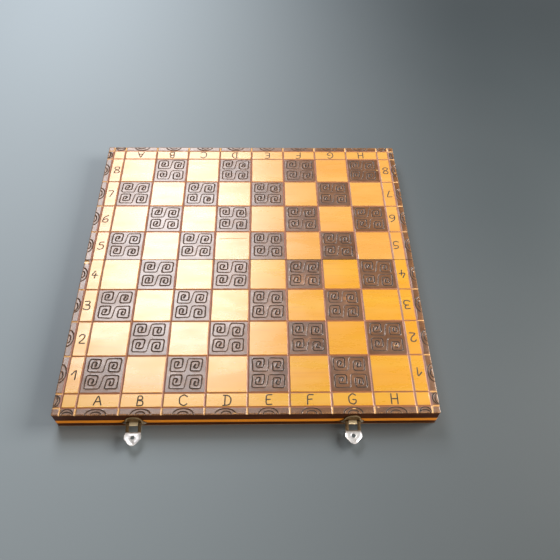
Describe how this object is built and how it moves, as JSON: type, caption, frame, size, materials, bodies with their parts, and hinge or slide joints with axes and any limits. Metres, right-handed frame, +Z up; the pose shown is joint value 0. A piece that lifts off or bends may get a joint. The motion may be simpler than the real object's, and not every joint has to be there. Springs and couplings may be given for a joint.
{
  "type": "folding chess board box",
  "caption": "Folding wooden chess board that closes into a box for the chessmen, with a hinged middle and two swinging hasp clasps.",
  "frame": {"origin": "middle of the front half's meeting edge, on the plane of the rims that the open board rests on", "axes": "+X along the fold from the a file to the h file, +Y from the clasped front edge towards the back half, +Z up out of the playing face"},
  "size_m": [0.4, 0.4294, 0.0286],
  "materials": {
    "playing_panel": "lacquered birch plywood, amber, with dark stained and burnt squares",
    "stained_rail": "lacquered beech rail, stained dark brown outside with a natural stripe",
    "brass_hinge": "tarnished brass plate",
    "steel_pin": "plain wire pin",
    "hinge_screw": "brass-plated wood screw",
    "clasp_plate": "tarnished brass-plated sheet",
    "clasp_hasp": "nickel-plated sheet, worn to brass on the arms",
    "nail": "plated round-head nail"
  },
  "bodies": {
    "front_half": {"front_playing_panel": "playing_panel", "front_outer_rail": "stained_rail", "front_hinge_rail": "stained_rail", "front_left_rail": "stained_rail", "front_right_rail": "stained_rail", "left_hinge_front_leaf": "brass_hinge", "right_hinge_front_leaf": "brass_hinge", "left_hinge_pin": "steel_pin", "right_hinge_pin": "steel_pin", "hinge_screws_front": "hinge_screw", "left_clasp_base_plate": "clasp_plate", "right_clasp_base_plate": "clasp_plate", "left_clasp_pin": "steel_pin", "right_clasp_pin": "steel_pin", "clasp_nails_front": "nail"},
    "back_half": {"back_playing_panel": "playing_panel", "back_outer_rail": "stained_rail", "back_hinge_rail": "stained_rail", "back_left_rail": "stained_rail", "back_right_rail": "stained_rail", "left_hinge_back_leaf": "brass_hinge", "right_hinge_back_leaf": "brass_hinge", "hinge_screws_back": "hinge_screw", "left_keeper": "clasp_plate", "right_keeper": "clasp_plate", "keeper_nails_back": "nail"},
    "left_hasp": {"left_clasp_hasp": "clasp_hasp"},
    "right_hasp": {"right_clasp_hasp": "clasp_hasp"}
  },
  "joints": [
    {"name": "board_fold", "type": "hinge", "parent": "front_half", "child": "back_half", "pos_m": [0, 0.00025, -0.00015], "axis": [-1, 0, 0], "range_deg": [0, 180]},
    {"name": "left_hasp_swing", "type": "hinge", "parent": "front_half", "child": "left_hasp", "pos_m": [-0.118, -0.2031, 0.011], "axis": [1, 0, 0], "range_deg": [-80, 90]},
    {"name": "right_hasp_swing", "type": "hinge", "parent": "front_half", "child": "right_hasp", "pos_m": [0.11, -0.2031, 0.011], "axis": [1, 0, 0], "range_deg": [-80, 90]}
  ]
}
